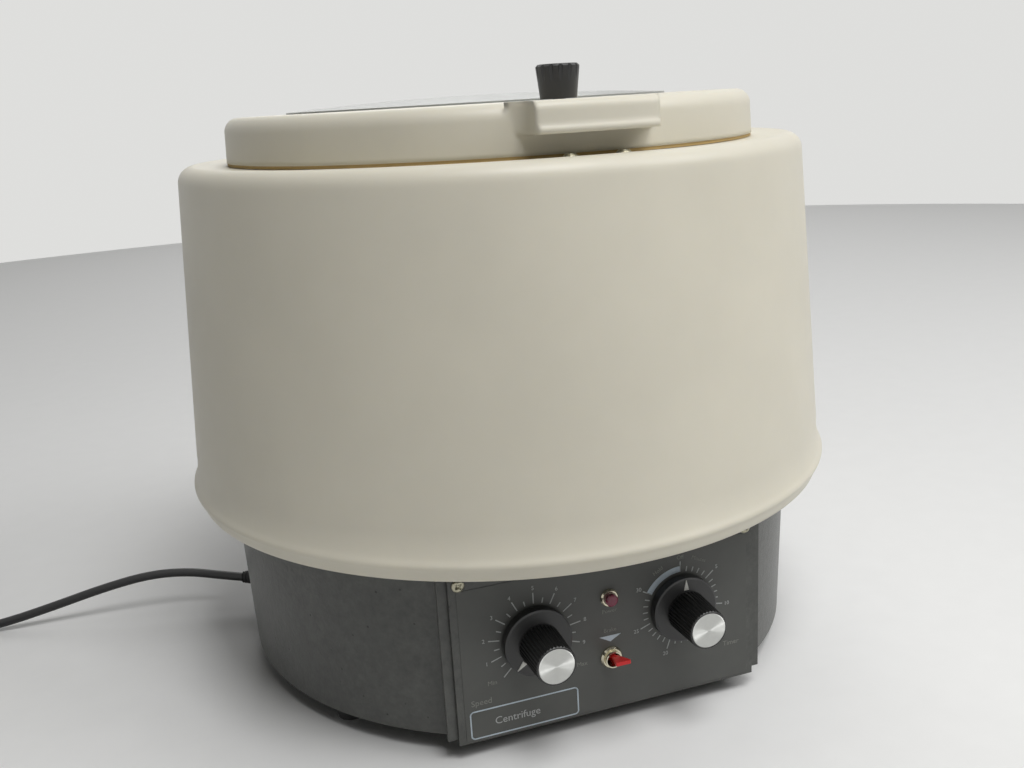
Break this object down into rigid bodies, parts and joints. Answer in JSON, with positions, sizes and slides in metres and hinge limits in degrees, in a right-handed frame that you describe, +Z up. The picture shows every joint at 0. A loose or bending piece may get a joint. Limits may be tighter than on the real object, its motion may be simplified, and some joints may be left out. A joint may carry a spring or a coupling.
{
  "type": "bench centrifuge",
  "caption": "Bench centrifuge with a cream moulded case and lid on a dark grey base, speed and timer knobs, and a swing-out rotor inside",
  "frame": {"origin": "on the bench under the rotor's axis", "axes": "+Z up along the rotor's axis, the control panel faces -Y, +X to the right seen from the front"},
  "size_m": [0.6958, 0.4268, 0.3741],
  "materials": {
    "hammertone_grey": "hammertone dark grey baked enamel",
    "cream_plastic": "semi-gloss cream moulded plastic",
    "black_rubber": "matt black rubber",
    "zinc_screw": "bright zinc plate",
    "bowl_aluminium": "spun aluminium",
    "motor_paint": "satin grey enamel",
    "cast_alloy": "bead-blasted casting",
    "machined_steel": "fine turned steel",
    "smoky_acrylic": "clear smoky acrylic",
    "black_phenolic": "black moulded phenolic",
    "bright_nickel": "polished nickel plate",
    "overlay_print": "printed dark grey face sheet",
    "brown_insulator": "moulded insulating plastic",
    "spun_aluminium": "spun bright aluminium",
    "red_lens": "deep red lens plastic",
    "red_plastic": "glossy red plastic",
    "circuit_board": "lacquered circuit board",
    "cord_jacket": "black cord jacket",
    "brass_blade": "drawn brass",
    "cup_aluminium": "drawn aluminium"
  },
  "bodies": {
    "case": {"base_housing": "hammertone_grey", "bottom_plate": "hammertone_grey", "rubber_feet": "black_rubber", "foot_screws": "zinc_screw", "outer_shell": "cream_plastic", "shell_screws": "zinc_screw", "chamber_bowl": "bowl_aluminium", "spindle_boot": "black_rubber", "motor_frame": "motor_paint", "motor_flange": "zinc_screw", "motor_isolators": "black_rubber", "motor_end_bell": "cast_alloy", "hinge_base_leaf": "zinc_screw", "hinge_pin": "machined_steel", "hinge_base_screws": "zinc_screw", "catch_plate": "machined_steel", "catch_screws": "bright_nickel", "control_panel": "hammertone_grey", "panel_overlay": "overlay_print", "panel_screws": "bright_nickel", "speed_control": "brown_insulator", "timer_movement": "zinc_screw", "lamp_body": "brown_insulator", "lamp_bezel": "bright_nickel", "lamp_lens": "red_lens", "toggle_switch": "bright_nickel", "toggle_nut": "bright_nickel", "control_board": "circuit_board", "strain_relief": "black_rubber", "power_cord": "cord_jacket", "cord_coil": "cord_jacket", "plug_body": "cord_jacket", "plug_blades": "brass_blade"},
    "lid": {"lid": "cream_plastic", "lid_window": "smoky_acrylic", "lid_gasket": "black_rubber", "hinge_lid_leaf": "zinc_screw", "hinge_lid_screws": "zinc_screw"},
    "latch": {"latch_knob": "black_phenolic", "latch_shaft": "machined_steel", "latch_tongue": "machined_steel"},
    "rotor": {"motor_spindle": "machined_steel", "rotor_head": "cast_alloy", "rotor_nut": "machined_steel"},
    "speed_dial": {"speed_shaft": "machined_steel", "speed_knob": "black_phenolic", "speed_knob_inlay": "spun_aluminium"},
    "timer_dial": {"timer_shaft": "machined_steel", "timer_knob": "black_phenolic", "timer_knob_inlay": "spun_aluminium"},
    "brake_lever": {"toggle_lever": "red_plastic"},
    "cup_1": {"trunnion_ring_1": "machined_steel", "tube_cup_1": "cup_aluminium"},
    "cup_2": {"trunnion_ring_2": "machined_steel", "tube_cup_2": "cup_aluminium"},
    "cup_3": {"trunnion_ring_3": "machined_steel", "tube_cup_3": "cup_aluminium"},
    "cup_4": {"trunnion_ring_4": "machined_steel", "tube_cup_4": "cup_aluminium"}
  },
  "joints": [
    {"name": "lid_hinge", "type": "hinge", "parent": "case", "child": "lid", "pos_m": [0, 0.176, 0.3335], "axis": [-1, 0, 0], "range_deg": [0, 105]},
    {"name": "lid_latch", "type": "hinge", "parent": "lid", "child": "latch", "pos_m": [0, -0.127, 0.34], "axis": [0, 0, -1], "range_deg": [0, 90]},
    {"name": "rotor_spin", "type": "hinge", "parent": "case", "child": "rotor", "pos_m": [0, 0, 0.2], "axis": [0, 0, 1], "continuous": true},
    {"name": "cup_swing_1", "type": "hinge", "parent": "rotor", "child": "cup_1", "pos_m": [0.084, 0, 0.245], "axis": [0, -1, 0], "range_deg": [0, 90]},
    {"name": "cup_swing_2", "type": "hinge", "parent": "rotor", "child": "cup_2", "pos_m": [0, 0.084, 0.245], "axis": [1, 0, 0], "range_deg": [0, 90]},
    {"name": "cup_swing_3", "type": "hinge", "parent": "rotor", "child": "cup_3", "pos_m": [-0.084, 0, 0.245], "axis": [0, 1, 0], "range_deg": [0, 90]},
    {"name": "cup_swing_4", "type": "hinge", "parent": "rotor", "child": "cup_4", "pos_m": [0, -0.084, 0.245], "axis": [-1, 0, 0], "range_deg": [0, 90]},
    {"name": "speed_knob_turn", "type": "hinge", "parent": "case", "child": "speed_dial", "pos_m": [-0.0454, -0.171, 0.067], "axis": [0, 1, 0], "range_deg": [0, 270]},
    {"name": "timer_knob_turn", "type": "hinge", "parent": "case", "child": "timer_dial", "pos_m": [0.0454, -0.171, 0.067], "axis": [0, 1, 0], "range_deg": [-30, 300]},
    {"name": "brake_toggle", "type": "hinge", "parent": "case", "child": "brake_lever", "pos_m": [0, -0.1665, 0.0445], "axis": [1, 0, 0], "range_deg": [0, 26]}
  ]
}
